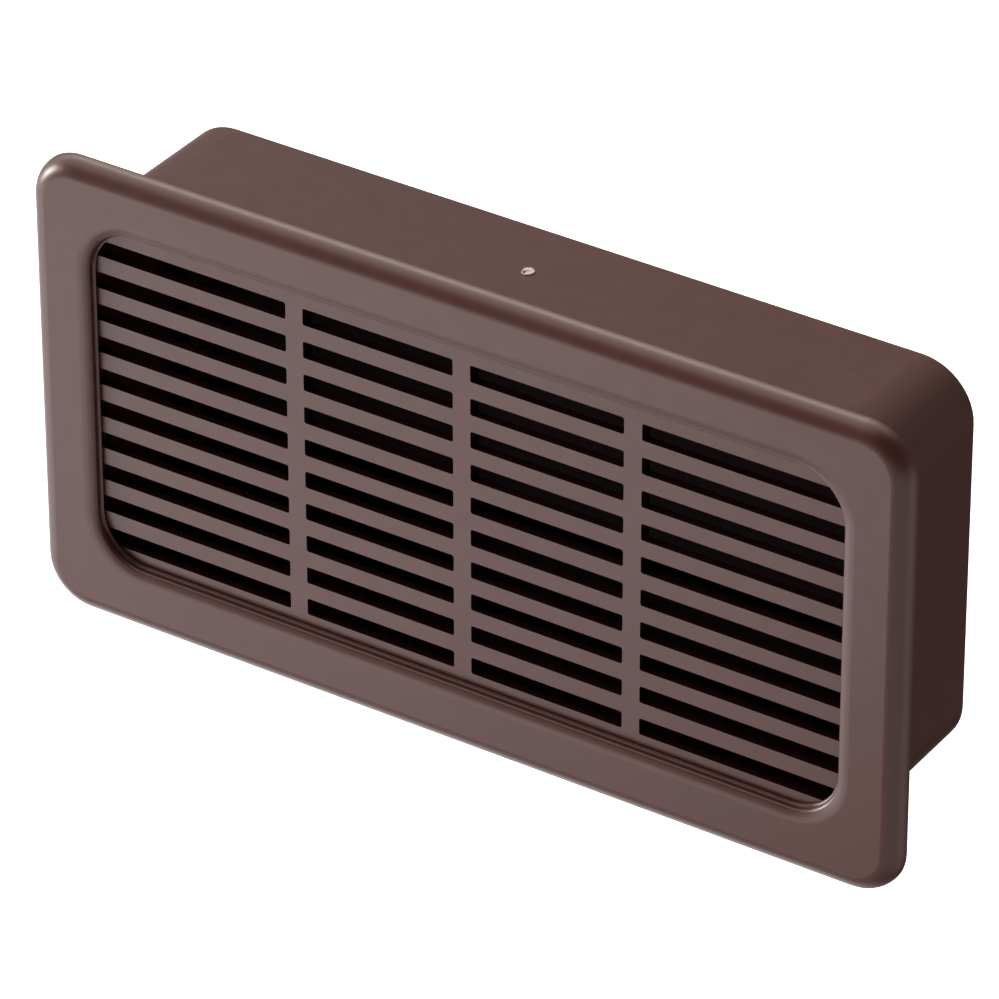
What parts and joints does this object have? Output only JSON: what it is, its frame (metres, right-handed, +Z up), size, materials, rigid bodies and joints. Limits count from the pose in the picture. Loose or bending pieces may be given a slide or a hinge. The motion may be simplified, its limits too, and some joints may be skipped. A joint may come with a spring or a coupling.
{
  "type": "ventilation grille",
  "caption": "Rectangular slotted ventilation grille with a rolled face frame, a collar for a wall or door cut-out, and a gravity shutter of hanging flaps inside.",
  "frame": {"origin": "centre of the wall cut-out, in the surface of the wall, which is the plane of the face frame's rear rim", "axes": "+X along the slots to the right as seen from the front, +Y from the face into the wall along the collar, +Z up"},
  "size_m": [0.206, 0.0422, 0.1076],
  "materials": {
    "brown_plastic": "satin moulded dark brown",
    "hinge_steel": "drawn stainless wire",
    "seal_foam": "closed-cell foam strip"
  },
  "bodies": {
    "grille_body": {"face_frame": "brown_plastic", "mounting_collar": "brown_plastic", "grille_panel": "brown_plastic", "shutter_frame": "brown_plastic", "hinge_rod_1": "hinge_steel", "hinge_rod_2": "hinge_steel", "hinge_rod_3": "hinge_steel", "hinge_rod_4": "hinge_steel", "stop_seal_1": "seal_foam", "stop_seal_2": "seal_foam", "stop_seal_3": "seal_foam", "stop_seal_4": "seal_foam"},
    "swing_flap_1": {"flap_1": "brown_plastic"},
    "swing_flap_2": {"flap_2": "brown_plastic"},
    "swing_flap_3": {"flap_3": "brown_plastic"},
    "swing_flap_4": {"flap_4": "brown_plastic"}
  },
  "joints": [
    {"name": "flap_1_hinge", "type": "hinge", "parent": "grille_body", "child": "swing_flap_1", "pos_m": [0, 0.033, 0.038], "axis": [-1, 0, 0], "range_deg": [0, 70]},
    {"name": "flap_2_hinge", "type": "hinge", "parent": "grille_body", "child": "swing_flap_2", "pos_m": [0, 0.033, 0.0175], "axis": [-1, 0, 0], "range_deg": [0, 70]},
    {"name": "flap_3_hinge", "type": "hinge", "parent": "grille_body", "child": "swing_flap_3", "pos_m": [0, 0.033, -0.003], "axis": [-1, 0, 0], "range_deg": [0, 70]},
    {"name": "flap_4_hinge", "type": "hinge", "parent": "grille_body", "child": "swing_flap_4", "pos_m": [0, 0.033, -0.0235], "axis": [-1, 0, 0], "range_deg": [0, 70]}
  ]
}
